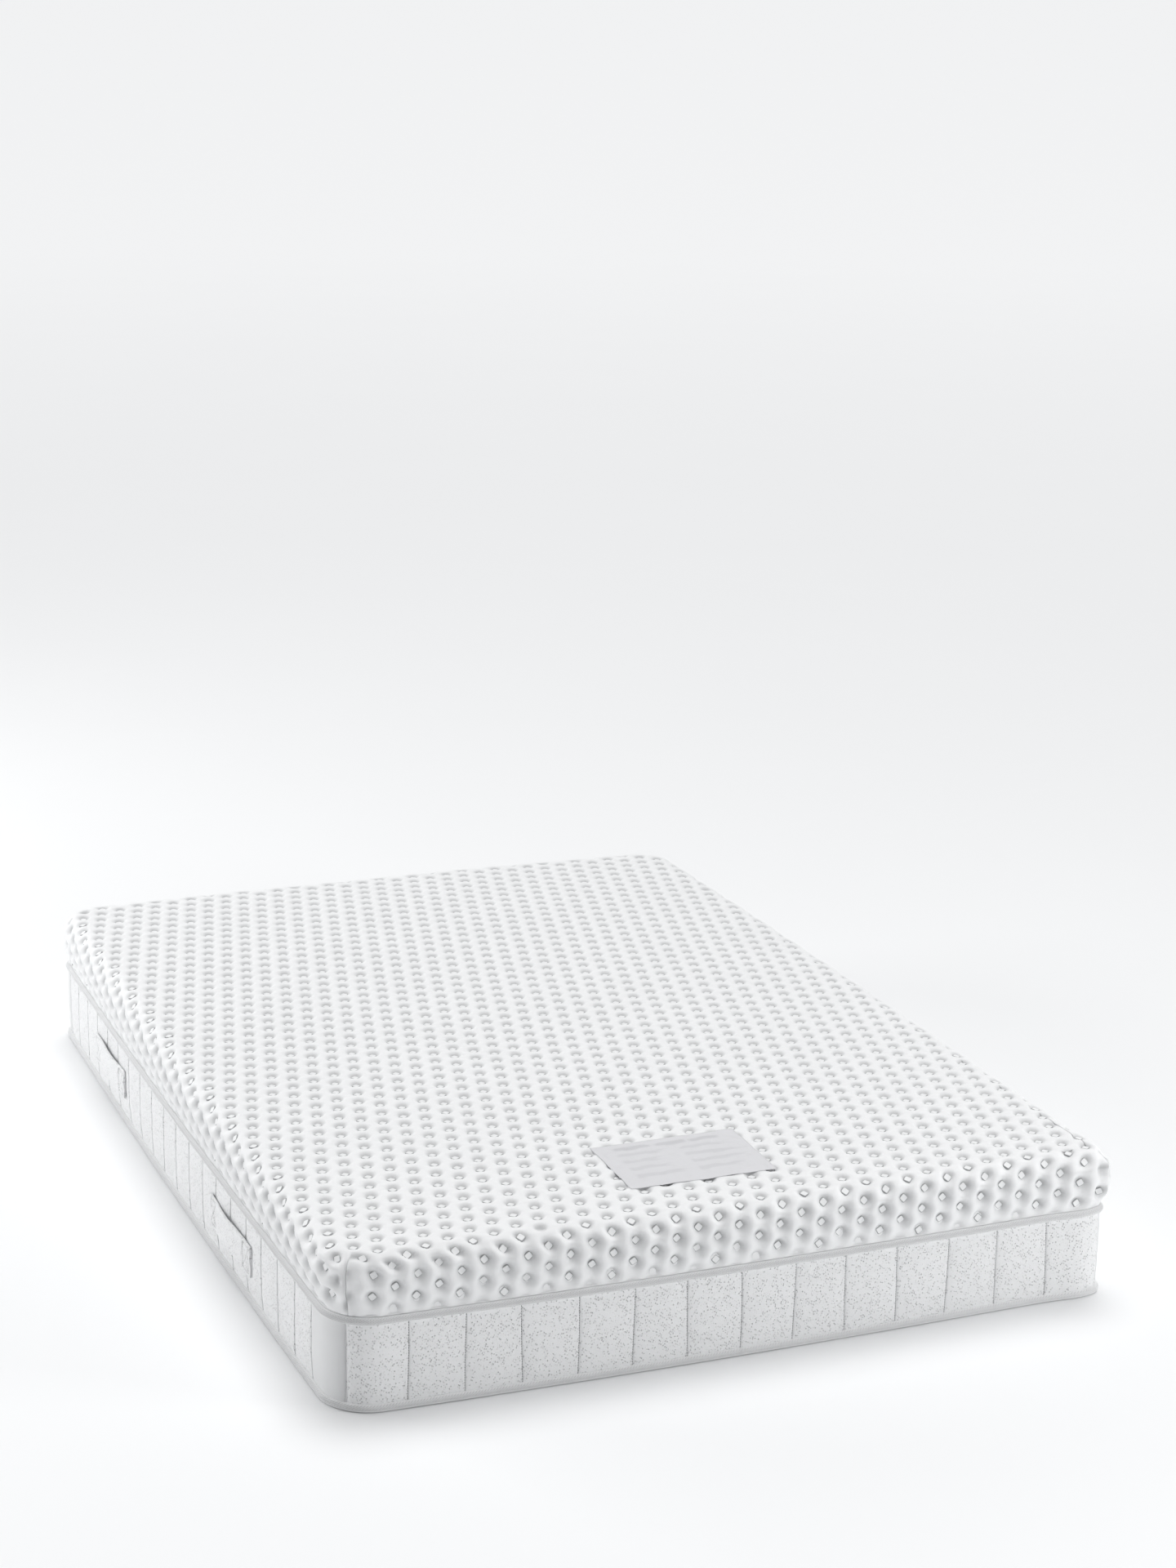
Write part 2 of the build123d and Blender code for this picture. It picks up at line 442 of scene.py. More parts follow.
def cover_knit():
    """Fine matt stretch knit: courses of small loops, with faint long-wave shade. Its tone darkens it as
    painted shade in the dimples and side hollows.
    """
    s = Shader("cover_knit", roughness=0.95, sheen=0.35)
    loops = s.cells(s.turn(s.cloth, scale=(620, 900, 1)), 1.0, 0.35)
    courses = s.wave(s.cloth, 260, 0.4, "Y")
    fuzz = s.noise(s.solid, 900, 2)
    shade = s.plus(s.times(s.noise(s.solid, 9), 0.6), s.times(loops, 0.45))
    # painted shade: where tone is high (dimple walls, side hollows) the knit darkens towards grey(0.55)
    s.colour(s.tone, s.blend(shade, grey(0.95), grey(0.87)), grey(0.55))
    s.bump((loops, 0.00035), (courses, 0.00006), (fuzz, 0.0002))
    return s.material


def puck_knit():
    """The pressed spot at the bottom of each dimple: the same knit, flattened and a little denser, with
    painted shade in the groove round its rim.
    """
    s = Shader("puck_knit", roughness=0.85, sheen=0.2)
    loops = s.cells(s.turn(s.solid, scale=(900, 900, 900)), 1.0, 0.5)
    fuzz = s.noise(s.solid, 700, 2)
    rim = s.ease(s.cloth_axis(0), 0.35, 0.85)
    # painted shade: the rim of each spot, where it sinks into its groove, darkens towards grey(0.36)
    s.colour(rim, s.blend(s.times(loops, 0.8), grey(0.93), grey(0.86)), grey(0.36))
    s.bump((loops, 0.0003), (fuzz, 0.0002))
    return s.material


def pinhole_knit(name, light, dark):
    """Border knit. Its tone is 0 on plain cloth, 1 on pitted cloth, and 2 in a stitched slit, which is
    darkened as painted shade of its groove.
    """
    s = Shader(name, roughness=0.93, sheen=0.25)
    slant = s.turn(s.cloth, angle=(0, 0, 0.55), scale=(PITS_PER_M, PITS_PER_M * 0.82, 1))
    hole = s.ease(s.cells(slant, 1.0, 0.55), 0.08, 0.40)
    ground = s.cells(s.turn(s.cloth, scale=(1300, 1500, 1)), 1.0, 0.6)
    patches = s.times(s.ease(s.noise(s.cloth, 90, 2), 0.16, 0.42), s.tone, clamp=True)
    patches = s.times(patches, s.ease(s.noise(s.cloth, 330, 0), 0.25, 0.62, 0.50, 1.0))
    high = s.math("SUBTRACT", 1.0, s.times(s.math("SUBTRACT", 1.0, hole), patches))
    shade = s.plus(s.times(high, 0.85), s.times(ground, 0.2))
    # painted shade: plain cloth (tone 0), the smooth ends of the long sides beside the corners, is made
    # darker
    painted_plain_shade = s.ease(s.tone, 0.0, 0.8, 0.62, 1.0)
    knit = s.blend(s.times(shade, painted_plain_shade), grey(dark), grey(light))
    # painted shade: the stitched slits (tone towards 2) darken towards grey(0.36)
    s.colour(s.ease(s.tone, 1.15, 1.8), knit, grey(0.36))
    s.bump((high, PIT_DEPTH), (ground, 0.0002), (s.noise(s.solid, 600, 2), 0.0002))
    return s.material


def twill_tape():
    """Edging tape: the ribs are in the mesh, and this adds the yarns across them; its tone darkens the rib
    grooves as painted shade.
    """
    s = Shader("tape_twill", roughness=0.82, sheen=0.3)
    yarn = s.wave(s.turn(s.cloth, angle=(0, 0, -0.9)), 520, 0.6)
    fuzz = s.noise(s.solid, 800, 2)
    s.colour(s.tone, s.blend(yarn, grey(0.95), grey(0.98)), grey(0.74))
    s.bump((yarn, 0.00018), (fuzz, 0.0002))
    return s.material


def thread():
    """Sewing thread, with its ply as fine slanting bands."""
    s = Shader("sewing_thread", roughness=0.6, sheen=0.2)
    ply = s.wave(s.turn(s.solid, angle=(0.6, 0.4, 0.9)), 900, 0.3)
    s.colour(ply, grey(0.78), grey(0.93))
    s.bump((ply, 0.0001))
    return s.material


def label_satin():
    """Smooth satin with soft plain grey bars in two columns under a header bar."""
    s = Shader("label_satin", roughness=0.5, sheen=0.1)
    x, y = s.cloth_axis(0), s.cloth_axis(1)

    def strip(value, low, high, soft=0.022):
        rising = s.ease(value, low - soft, low + soft)
        return s.times(rising, s.ease(value, high - soft, high + soft, 1.0, 0.0))

    header = s.times(strip(y, 0.845, 0.915), strip(x, 0.13, 0.86))
    gaps = s.plus(strip(x, 0.385, 0.425), strip(x, 0.63, 0.66))
    header = s.times(header, s.math("SUBTRACT", 1.0, gaps, clamp=True))
    ragged = s.plus(x, s.times(s.noise(s.turn(s.cloth, scale=(1.5, 14, 1)), 1.0, 0), 0.30))
    columns = [s.times(s.ease(x, start, start + 0.03), s.ease(ragged, stop, stop + 0.10, 1.0, 0.0))
               for start, stop in ((0.10, 0.52), (0.53, 0.95))]
    rows = s.times(strip(s.math("FRACT", s.times(y, 6.1)), 0.30, 0.72, 0.1), strip(y, 0.16, 0.76))
    bars = s.times(s.plus(*columns), rows)
    ink = s.plus(s.times(header, 0.85), s.times(bars, 0.5), clamp=True)
    weave = s.wave(s.turn(s.solid, angle=(0, 0, 0.8)), 1400, 0.2)
    s.colour(ink, (0.74, 0.74, 0.76, 1), (0.60, 0.60, 0.62, 1))
    s.bump((weave, 0.00006), (s.noise(s.solid, 60, 2), 0.0006))
    return s.material


def foam(name, light, dark, pore):
    """Open-cell foam: round pores of two sizes in a matt ground."""
    s = Shader(name, roughness=0.97, sheen=0.1)
    large = s.cells(s.solid, pore, 1.0)
    small = s.cells(s.solid, pore * 2.7, 1.0)
    pores = s.plus(s.times(large, 0.6), s.times(small, 0.4))
    s.colour(s.ease(pores, 0.1, 0.6), (*dark, 1.0), (*light, 1.0))
    s.bump((large, 0.0009), (small, 0.0004))
    return s.material


def woven(name, light, dark, scale, fleece=0.0003):
    """Plain lining cloth, liner or wadding: crossing threads under a little fleece."""
    s = Shader(name, roughness=0.92, sheen=0.2)
    warp = s.wave(s.solid, scale, 0.8, "X")
    weft = s.wave(s.solid, scale, 0.8, "Y")
    height = s.plus(warp, weft)
    s.colour(s.times(height, 0.5), grey(dark), grey(light))
    s.bump((height, 0.00012), (s.noise(s.solid, scale * 0.8, 4), fleece))
    return s.material


def enamel():
    """White enamelled cast metal with a slight casting texture."""
    s = Shader("zip_metal", roughness=0.38, sheen=0.0, metallic=0.25)
    s.colour(s.noise(s.solid, 160), grey(0.80), grey(0.90))
    s.bump((s.noise(s.solid, 900), 0.00008))
    return s.material


COVER_KNIT = cover_knit()
PUCK_KNIT = puck_knit()
BORDER_KNIT = pinhole_knit("border_knit", 0.90, 0.60)
HANDLE_KNIT = pinhole_knit("handle_knit", 0.91, 0.62)
TAPE_TWILL = twill_tape()
THREAD = thread()
LABEL_SATIN = label_satin()
LINING = woven("lining_cloth", 0.86, 0.78, 500)
LINER_KNIT = woven("liner_knit", 0.93, 0.87, 420)
WADDING = woven("wadding_fibre", 0.94, 0.86, 120, 0.003)
ZIP_CLOTH = woven("zip_cloth", 0.88, 0.80, 900)
SUPPORT_FOAM = foam("support_foam", (0.80, 0.82, 0.84), (0.58, 0.61, 0.65), 420)
TRANSITION_FOAM = foam("transition_foam", (0.92, 0.92, 0.88), (0.72, 0.72, 0.66), 520)
MEMORY_FOAM = foam("memory_foam", (0.95, 0.93, 0.86), (0.80, 0.77, 0.66), 800)
ZIP_METAL = enamel()


# ---- closed shells on the outline

def layered_shell(profile, ripple):
    """Closed shell on the outline, as points, faces and uv. profile lists (grow, z) from the bottom up."""
    u, across, up = loop_stations(FILLING_STEP)
    plan, normal = outline(u)
    rings = np.array([ring_at(plan, normal, grow + ripple * wander(u, z * 3, 0.05), z)
                      for grow, z in profile])
    index = numbered(rings)
    low, high = span(rings[0], across, up), span(rings[-1], across, up)
    for face, side in ((low, -1), (high, 1)):
        x, y = face[..., 0], face[..., 1]
        edge = np.minimum(1 - np.abs(x) / HALF_X, 1 - np.abs(y) / HALF_Y)
        face[..., 2] -= side * ripple * 0.6 * (1 + wander(x, y, 0.11)) * smooth(edge, 0, 0.12)
    first = index.size
    low_index = span_index(index[0], first, across, up)
    high_index = span_index(index[-1], first + (up - 1) * (across - 1), across, up)
    points = np.concatenate([part.reshape(-1, 3) for part in (rings, low[1:-1, 1:-1], high[1:-1, 1:-1])])
    faces = np.concatenate([quads(index, wrap=True), quads(low_index)[:, ::-1], quads(high_index)])
    around = np.column_stack([np.tile(u, len(rings)), rings[..., 2].ravel()])
    return points, faces, np.concatenate([around, points[index.size:, :2]])


def rounded_profile(grow, low, high, low_r, high_r):
    """Side profile from the bottom face to the top face with both edges rounded."""
    turn = np.linspace(0, math.pi / 2, 5)
    bottom = [(grow - low_r * (1 - math.sin(a)), low + low_r * (1 - math.cos(a))) for a in turn]
    top = [(grow - high_r * (1 - math.cos(a)), high - high_r * (1 - math.sin(a))) for a in turn]
    middle = [(grow, low + low_r + (high - low - low_r - high_r) * k / 4) for k in (1, 2, 3)]
    return bottom + middle + top


def fillings():
    """Foam cores, liner and the cloths between them."""
    core = -(BORDER_IN + BORDER_T) - 0.0122
    floor_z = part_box("platform_cloth")[0].z
    foams_meet = 0.2000
    # name, node, slot, material, (grow, low, high, radius of the lower edge, and of the upper), ripple
    parts = [
        ("underside_fabric", "underside_cloth", "lining_cloth", LINING,
         (-TAPE_T - 0.0002, 0.0, 0.0025, 0.001, 0.001), 0.0),
        ("support_foam", "support_foam_core", "support_foam", SUPPORT_FOAM,
         (core, 0.0027, floor_z - 0.0002, 0.003, 0.003), 0.0002),
        ("platform_fabric", "platform_cloth", "lining_cloth", LINING,
         (-0.0082, floor_z, floor_z + 0.002, 0.0008, 0.0008), 0.0003),
        ("comfort_liner", "foam_liner", "liner_knit", LINER_KNIT,
         (-0.0078, floor_z + 0.0022, 0.2460, 0.006, 0.022), 0.0012),
        ("transition_foam", "transition_foam_layer", "transition_foam", TRANSITION_FOAM,
         (-0.0106, floor_z + 0.0042, foams_meet - 0.0002, 0.003, 0.002), 0.0002),
        ("memory_foam", "memory_foam_layer", "memory_foam", MEMORY_FOAM,
         (-0.0106, foams_meet + 0.0002, 0.2440, 0.002, 0.020), 0.0004),
    ]
    for name, node, slot_name, material, shape, ripple in parts:
        points, faces, uv = layered_shell(rounded_profile(*shape), ripple)
        made = piece(name, points, faces, material, "mattress_base", uv=uv, replaces=[node])


# ---- embossed cover

def crown(x, y):
    """Gentle dome of the top, a little lower at its edges and higher in its middle."""
    bulk = (1 - np.abs(x / HALF_X) ** 3) * (1 - np.abs(y / HALF_Y) ** 4)
    return -0.003 + 0.0085 * bulk + 0.0008 * wander(x, y, 0.16)


def cover_profile():
    """Side profile of the cover as (grow, z), from the flat top over its edge, down and under the hem."""
    radius = COVER_EDGE_R
    turn = np.linspace(0, math.pi / 2, 14)
    roll = [(COVER_OUT - radius + radius * math.sin(a), COVER_TOP - radius * (1 - math.cos(a))) for a in turn]
    high = COVER_TOP - radius
    low = COVER_HEM_Z + 0.0012
    tuck = COVER_OUT - COVER_HEM_OUT
    down = np.linspace(high, low, 17)[1:]
    side = [(COVER_OUT - tuck * float(smooth((high - z) / (high - low), 0.25, 1.0)), z) for z in down]
    edge = [(COVER_HEM_OUT - 0.0004, 0.0003), (COVER_HEM_OUT - 0.0013, 0.0), (COVER_HEM_IN + 0.0003, 0.0003),
            (COVER_HEM_IN, 0.0012), (COVER_HEM_IN, 0.008), (COVER_HEM_IN, 0.020)]
    hem = [(grow, COVER_HEM_Z + rise_z) for grow, rise_z in edge]
    return np.array(roll + side + hem), len(roll) + len(side)


PROFILE, OUTER_ROWS = cover_profile()
PROFILE_Q = np.concatenate([[0], np.cumsum(np.linalg.norm(np.diff(PROFILE, axis=0), axis=1))])
ROLL_LEN = COVER_EDGE_R * math.pi / 2
OUTER_Q = PROFILE_Q[OUTER_ROWS - 1]


def past_right_seam(u):
    """Outline length past the cover's seam at the right foot corner, less than 0 before it."""
    return np.mod(u + QUARTER, LOOP_LEN) - QUARTER - SEAM_U


def belly(u, q):
    """How far the cover's side stands proud of its profile: an even puff, and a full right foot corner."""
    down = smooth(q, 0.02, 0.06) * smooth(q, OUTER_Q + 0.002, OUTER_Q - 0.030)
    slow = 0.0012 * wander(u, q * 2, 0.07)
    return down * (0.003 + 0.005 * hump(past_right_seam(u), 0.085) + slow)


def profile_at(q):
    return [np.interp(q, PROFILE_Q, PROFILE[:, k]) for k in (0, 1)]


def cover_place(u, q):
    """Point and outward normal of the smooth cover, at outline length u and q down from the top's edge."""
    plan, normal = outline(u)
    grow, z = profile_at(q)
    flat = plan + normal * (grow + belly(u, q))[..., None]
    top = smooth(q, 0.04, 0.0) * crown(*np.moveaxis(flat, -1, 0))
    point = np.concatenate([flat, (z + top)[..., None]], -1)
    step = 0.0008
    out, drop = (after - before for after, before in zip(profile_at(q + step), profile_at(q - step)))
    size = np.hypot(out, drop)
    facing = np.concatenate([normal * (-drop / size)[..., None], (out / size)[..., None]], -1)
    return point, facing


def foot_draw(x):
    """How far the knit of the foot face is drawn sideways at x."""
    return FOOT_SHIFT + np.where(x < 0, FOOT_STRETCH[0], FOOT_STRETCH[1]) * x


def cover_cloth(u, q):
    """Where that point lies on the flat embossed knit: the top's x and y, run on over the edge."""
    plan, normal = outline(u)
    reach = COVER_OUT - COVER_EDGE_R + q
    fan = plan + normal * reach[..., None]
    around = np.mod(u + QUARTER / 2, LOOP_LEN) - QUARTER / 2
    head = (around > 2 * QUARTER - SEAM_U) & (around < 2 * QUARTER + SEAM_U)
    side_u = np.mod(u, LOOP_LEN)
    from_foot = np.mod(u + 2 * QUARTER, LOOP_LEN) - 2 * QUARTER
    foot = np.abs(from_foot) < SEAM_U
    end_u = np.where(foot, from_foot, 2 * QUARTER - side_u)
    end_sign = np.where(foot, 1.0, -1.0)
    kept = np.clip(end_u, -BEND, BEND)
    base, _ = outline(kept)
    end_s = base[..., 0] + (end_u - kept)
    end_t = end_sign * (base[..., 1] - reach)
    is_right = side_u < 2 * QUARTER
    middle = np.where(is_right, QUARTER, 3 * QUARTER)
    turn = np.where(is_right, 1.0, -1.0)
    kept = np.clip(side_u, middle - QUARTER + BEND + BEND_LEN, middle + QUARTER - BEND - BEND_LEN)
    base, _ = outline(kept)
    side_t = base[..., 1] + turn * (side_u - kept)
    side_s = base[..., 0] + turn * reach
    is_end = foot | head
    flap = np.stack([np.where(is_end, end_s, side_s), np.where(is_end, end_t, side_t)], -1)
    share = smooth(q / ROLL_LEN)[..., None]
    cloth = fan * (1 - share) + flap * share
    x = np.clip(q / ROLL_LEN, 0, 1)
    lean = ROLL_LEN * (x ** 3 - x ** 4 / 2) + np.maximum(q - ROLL_LEN, 0)
    drawn = FOOT_SHEAR * lean - smooth(q, 0, ROLL_LEN) * foot_draw(plan[..., 0])
    cloth[..., 0] -= np.where(foot, drawn, 0) * smooth(SEAM_U - np.abs(from_foot), -0.001, 0.02)
    return cloth


LATTICE = np.column_stack([LATTICE_COLUMN, LATTICE_NEXT])
TO_LATTICE = np.linalg.inv(LATTICE)


def lattice_place(cloth):
    return (cloth - LATTICE_AT) @ TO_LATTICE.T


def dimple(cloth, on_side):
    """Depth of the embossing: a bowl at each spot of the lattice, and on the sides a soft furrow too."""
    place = lattice_place(cloth)
    nearest = nearest_spot(cloth)[1]
    bowl = 1 - smooth(nearest, DIMPLE_FLAT, DIMPLE_RIM)
    pillow = 1 - smooth(nearest, 0.010, 0.021)
    furrow = 0.5 + 0.5 * np.cos(2 * math.pi * place[..., 1])
    hollow = 1 - smooth(nearest, 0.004, 0.023)
    loose = on_side * (SIDE_FURROW * furrow + SIDE_HOLLOW * hollow)
    return (DIMPLE_DEPTH - PILLOW_DEPTH) * bowl * (1 - 0.4 * on_side) + PILLOW_DEPTH * pillow + loose


def nearest_spot(cloth):
    """Offset of each point of the cloth from the dimple nearest to it, and its length."""
    place = lattice_place(cloth)
    cell = np.floor(place)
    nearest = np.full(place.shape[:-1], 1e9)
    ray = np.zeros(cloth.shape)
    for step in ((0, 0), (1, 0), (0, 1), (1, 1)):
        off = (place - cell - step) @ LATTICE.T
        far = np.linalg.norm(off, axis=-1)
        closer = far < nearest
        nearest = np.where(closer, far, nearest)
        ray = np.where(closer[..., None], off, ray)
    return ray, nearest


def painted_wall_shade(cloth):
    """Share of painted shade on the dimple walls, standing for their shadow: most on the wall towards the
    head end.
    """
    ray, far = nearest_spot(cloth)
    head = ray @ SHADE_HEADING / np.maximum(far, 1e-6)
    wall = 1 - smooth(far, DIMPLE_FLAT, DIMPLE_RIM + 0.0030 * head)
    return wall * (0.25 + 0.75 * smooth(head, -0.45, 0.55))


def drawn_in(cloth):
    """Cloth points moved a little towards the two rims of their dimple, so that the mesh follows them."""
    ray, nearest = nearest_spot(cloth)
    moved = nearest.copy()
    for rim, reach in ((DIMPLE_FLAT + 0.0004, 0.0026), (DIMPLE_RIM - 0.0006, 0.0024)):
        moved = moved + (rim - nearest) * 0.75 * hump(nearest - rim, reach)
    return cloth + ray * (moved / np.maximum(nearest, 1e-6) - 1)[..., None]


def crowd_rims(u, q):
    """Moves side points of the cover a little towards the dimple rims, as drawn_in does on the top."""
    cloth = cover_cloth(u, q)
    s, t = np.moveaxis(drawn_in(cloth) - cloth, -1, 0)
    flap = np.mod(u + SEAM_U, LOOP_LEN)
    turns = [2 * SEAM_U, 2 * QUARTER, 2 * QUARTER + 2 * SEAM_U]
    at = np.searchsorted(turns, flap)
    along = np.choose(at, [s, t, -s, -t])
    down = np.choose(at, [-t, s, t, -s])
    free = smooth(seam_distance(u), 0.012, 0.03)
    free = free * smooth(q, 0.006, 0.016) * smooth(q, OUTER_Q - 0.004, OUTER_Q - 0.014)
    return u + along * free, q + down * free


def seam_distance(u):
    """Distance along the outline to the nearest corner seam of the cover."""
    u = np.mod(u, LOOP_LEN)
    seams = [SEAM_U, 2 * QUARTER - SEAM_U, 2 * QUARTER + SEAM_U, LOOP_LEN - SEAM_U]
    return np.min([np.abs(u - s) for s in seams], axis=0)


def cover_depth(u, q, cloth):
    """Inward shift of the cover: embossing, corner seams and the pucker beside them."""
    away = seam_distance(u)
    on_side = smooth(q, 0.012, 0.045)
    near = 1 - on_side * (1 - smooth(away, 0.003, 0.022))
    depth = dimple(cloth, on_side) * near
    depth = depth * (0.35 + 0.65 * smooth(q, OUTER_Q + 0.001, OUTER_Q - 0.030))
    depth = depth * smooth(q, OUTER_Q + 0.002, OUTER_Q)
    groove = 0.0030 * hump(away, 0.0012)
    shoulder = -0.0006 * hump(away - 0.006, 0.004)
    pucker = 0.0010 * np.sin(q / 0.0046 + 1.4 * np.sin(u * 90)) * hump(away, 0.016)
    seam = on_side * smooth(q, OUTER_Q + 0.004, OUTER_Q - 0.006) * (groove + shoulder + pucker)
    past = past_right_seam(u)
    fold = 0.0022 * np.sin(past / 0.0052 + 2.2 * np.sin(q / 0.024)) * hump(past + 0.03, 0.026)
    return depth + seam + fold * smooth(q, 0.05, 0.09) * smooth(q, OUTER_Q + 0.003, OUTER_Q - 0.012)


def cover_skin(u, q):
    """Point of the embossed cover, and the outward normal of the smooth cover there."""
    point, facing = cover_place(u, q)
    return rise(point, facing, -cover_depth(u, q, cover_cloth(u, q))), facing


def cover_shell():
    """The embossed cover as one skin: top, rounded edge, sides and turned-in hem."""
    seams = (-SEAM_U, SEAM_U)
    u, across, up = loop_stations(0.0045, close=seams, close_step=0.0007, reach=0.005)
    uu, qq = crowd_rims(*np.meshgrid(u, PROFILE_Q))
    point, cloth = cover_skin(uu, qq)[0][::-1], cover_cloth(uu, qq)[::-1]
    index = numbered(uu)
    top_cloth = span(cloth[-1], across, up)
    inward = np.min(np.array([HALF_X, HALF_Y]) - np.abs(top_cloth), axis=-1)
    top_cloth += (drawn_in(top_cloth) - top_cloth) * smooth(inward, 0.045, 0.06)[..., None]
    x, y = top_cloth[..., 0], top_cloth[..., 1]
    top = np.stack([x, y, COVER_TOP + crown(x, y) - dimple(top_cloth, 0.0)], -1)
    grid = span_index(index[-1], index.size, across, up)
    points = np.concatenate([point.reshape(-1, 3), top[1:-1, 1:-1].reshape(-1, 3)])
    uv = np.concatenate([cloth.reshape(-1, 2), top_cloth[1:-1, 1:-1].reshape(-1, 2)])
    faces = np.concatenate([quads(index, wrap=True), quads(grid)])
    # tone is painted shade: in the side hollows round each dimple and on the dimple walls, fading out towards
    # the hem
    clear = smooth(qq, OUTER_Q + 0.001, OUTER_Q - 0.012)[::-1].ravel()
    around = 1 - smooth(nearest_spot(cloth)[1], 0.004, 0.023)
    hollow = 0.30 * (around * smooth(qq[::-1], 0.012, 0.045)).ravel()
    tone = np.concatenate([hollow, np.zeros(len(uv) - len(hollow))])
    tone = tone + (1 - tone) * painted_wall_shade(uv)
    tone = tone * np.concatenate([clear, np.ones(len(uv) - len(clear))])
    cover = piece("embossed_cover_knit", points, faces, COVER_KNIT, "top_cover", uv=uv,
                  tone=tone, replaces=["embossed_cover"])


def puck_places():
    """Centre, normal and along-row direction of every pressed spot."""
    steps = range(-45, 46)
    spots = np.array([LATTICE_AT + i * LATTICE_COLUMN + j * LATTICE_NEXT for i in steps for j in steps])
    edge, edge_n = outline(np.linspace(0, LOOP_LEN, 1440, endpoint=False))
    nearest = np.argmin(np.linalg.norm(spots[:, None] - edge[None], axis=2), axis=1)
    inside = ((spots - edge[nearest]) * edge_n[nearest]).sum(1) < COVER_OUT - COVER_EDGE_R
    on_top = spots[inside]
    z = COVER_TOP + crown(on_top[:, 0], on_top[:, 1]) - DIMPLE_DEPTH
    up, right = (np.tile(ray, (len(z), 1)) for ray in ([0.0, 0, 1], [1.0, 0, 0]))
    found = [(np.column_stack([on_top, z]), up, right)]

    # On the sides, the spots are where a fine search finds the cloth at a whole place of the lattice
    fine_u = np.linspace(0, LOOP_LEN, 3000, endpoint=False)
    uu, qq = np.meshgrid(fine_u, np.linspace(0.0005, OUTER_Q - 0.006, 60))
    place = lattice_place(cover_cloth(uu, qq))
    off = np.linalg.norm((place - np.round(place)) @ LATTICE.T, axis=-1)
    around = [np.roll(off, (a, b), (0, 1)) for a in (-1, 0, 1) for b in (-1, 0, 1) if a or b]
    lowest = (off < 0.0035) & (off <= np.min(around, axis=0)) & (seam_distance(uu) > 0.011)
    lowest[0] = lowest[-1] = False
    kept = {}
    for r, c in zip(*np.nonzero(lowest)):
        name = (*np.round(place[r, c]).astype(int), round(uu[r, c] * 20))
        kept.setdefault(name, (uu[r, c], qq[r, c]))
    su, sq = np.array(list(kept.values())).T
    point, outward = cover_skin(su, sq)
    reach = PUCK_HALF * 0.8
    along = unit(cover_skin(su + reach, sq)[0] - cover_skin(su - reach, sq)[0])
    upward = cover_skin(su, np.maximum(sq - reach, 0.001))[0] - cover_skin(su, sq + reach)[0]
    facing = unit(np.cross(along, upward))
    facing *= np.sign((facing * outward).sum(1))[:, None]
    found.append((point + PUCK_LIFT * facing, facing, along))
    return [np.concatenate(part) for part in zip(*found)]


def rounded_square(half, corner):
    """Outline of a square with rounded corners, as four points in each corner."""
    points = []
    for quarter, signs in enumerate(((1, 1), (-1, 1), (-1, -1), (1, -1))):
        for a in np.linspace(0, math.pi / 2, 4) + quarter * math.pi / 2:
            points.append(np.array(signs) * (half - corner) + corner * np.array([math.cos(a), math.sin(a)]))
    return np.array(points)


def pucks():
    """The pressed spots, one small bevelled square in every dimple."""
    centre, facing, along = puck_places()
    across = np.cross(facing, along)
    tilt = math.radians(38) + 0.12 * np.sin(np.arange(len(centre)) * 2.4)
    e1 = along * np.cos(tilt)[:, None] + across * np.sin(tilt)[:, None]
    e2 = -along * np.sin(tilt)[:, None] + across * np.cos(tilt)[:, None]
    rings = [(PUCK_HALF + 0.0003, 0.0026, -0.0016), (PUCK_HALF, 0.0026, 0.0006),
             (PUCK_HALF - 0.0013, 0.0020, 0.0014), (PUCK_HALF - 0.0022, 0.0014, 0.0013)]
    layers = [np.column_stack([rounded_square(h, c), np.full(16, z)]) for h, c, z in rings]
    layers.append(np.array([[0, 0, 0.0008]]))
    ring = np.arange(64).reshape(4, 16)
    cap = [[ring[3, k], ring[3, (k + 1) % 16], 64] for k in range(16)]
    side = quads(ring, wrap=True).tolist()
    points, faces = copies(np.concatenate(layers), side + cap, centre, e1, e2, facing)
    # how far each ring of a spot is darkened as painted groove shade, the outermost most
    ring_share = np.concatenate([np.repeat([1.0, 0.9, 0.55, 0.1], 16), [0.0]])
    uv = np.column_stack([np.tile(ring_share, len(centre)), np.repeat(np.arange(len(centre)) % 7, 65)])
    piece("embossed_spots", points, faces, PUCK_KNIT, "top_cover", uv=uv)


def cover_backing():
    """Thin backing cloth inside the cover, seen only when the cover is lifted."""
    inner = COVER_HEM_IN - 0.0003
    shape = [(inner, COVER_LOW + 0.012), (inner, 0.19), (inner, 0.22)]
    turn = np.linspace(0, math.pi / 2, 6)[1:]
    radius = 0.0275
    ceiling = 0.2470
    shape += [(inner - radius * (1 - math.cos(a)), ceiling - radius * (1 - math.sin(a))) for a in turn]
    u, across, up = loop_stations(0.03)
    rings = np.array([ring_at(*outline(u), grow, z) for grow, z in shape])
    index = numbered(rings)
    top = span(rings[-1], across, up)
    grid = span_index(index[-1], index.size, across, up)
    points = np.concatenate([rings.reshape(-1, 3), top[1:-1, 1:-1].reshape(-1, 3)])
    faces = np.concatenate([quads(index, wrap=True), quads(grid)])
    piece("cover_backing", points, faces, LINER_KNIT, "top_cover", uv=points[:, :2])


# ---- quilted border

def side_u(y, right):
    """Outline length of the point at y on the right or left side."""
    straight = (LOOP_U > BEND + BEND_LEN) & (LOOP_U < 2 * QUARTER - BEND - BEND_LEN)
    offset = np.interp(y, LOOP_P[straight, 1], LOOP_U[straight])
    return offset if right else LOOP_LEN - offset


def seam_u():
    """Outline length, from the middle of the foot end, at which the border strips are joined."""
    near = (LOOP_U > LOOP_LEN - QUARTER) & (LOOP_U < LOOP_LEN - BEND * 0.8)
    return LOOP_LEN - float(np.interp(-SEAM_X, LOOP_P[near, 0], LOOP_U[near]))


PANEL_END = seam_u()


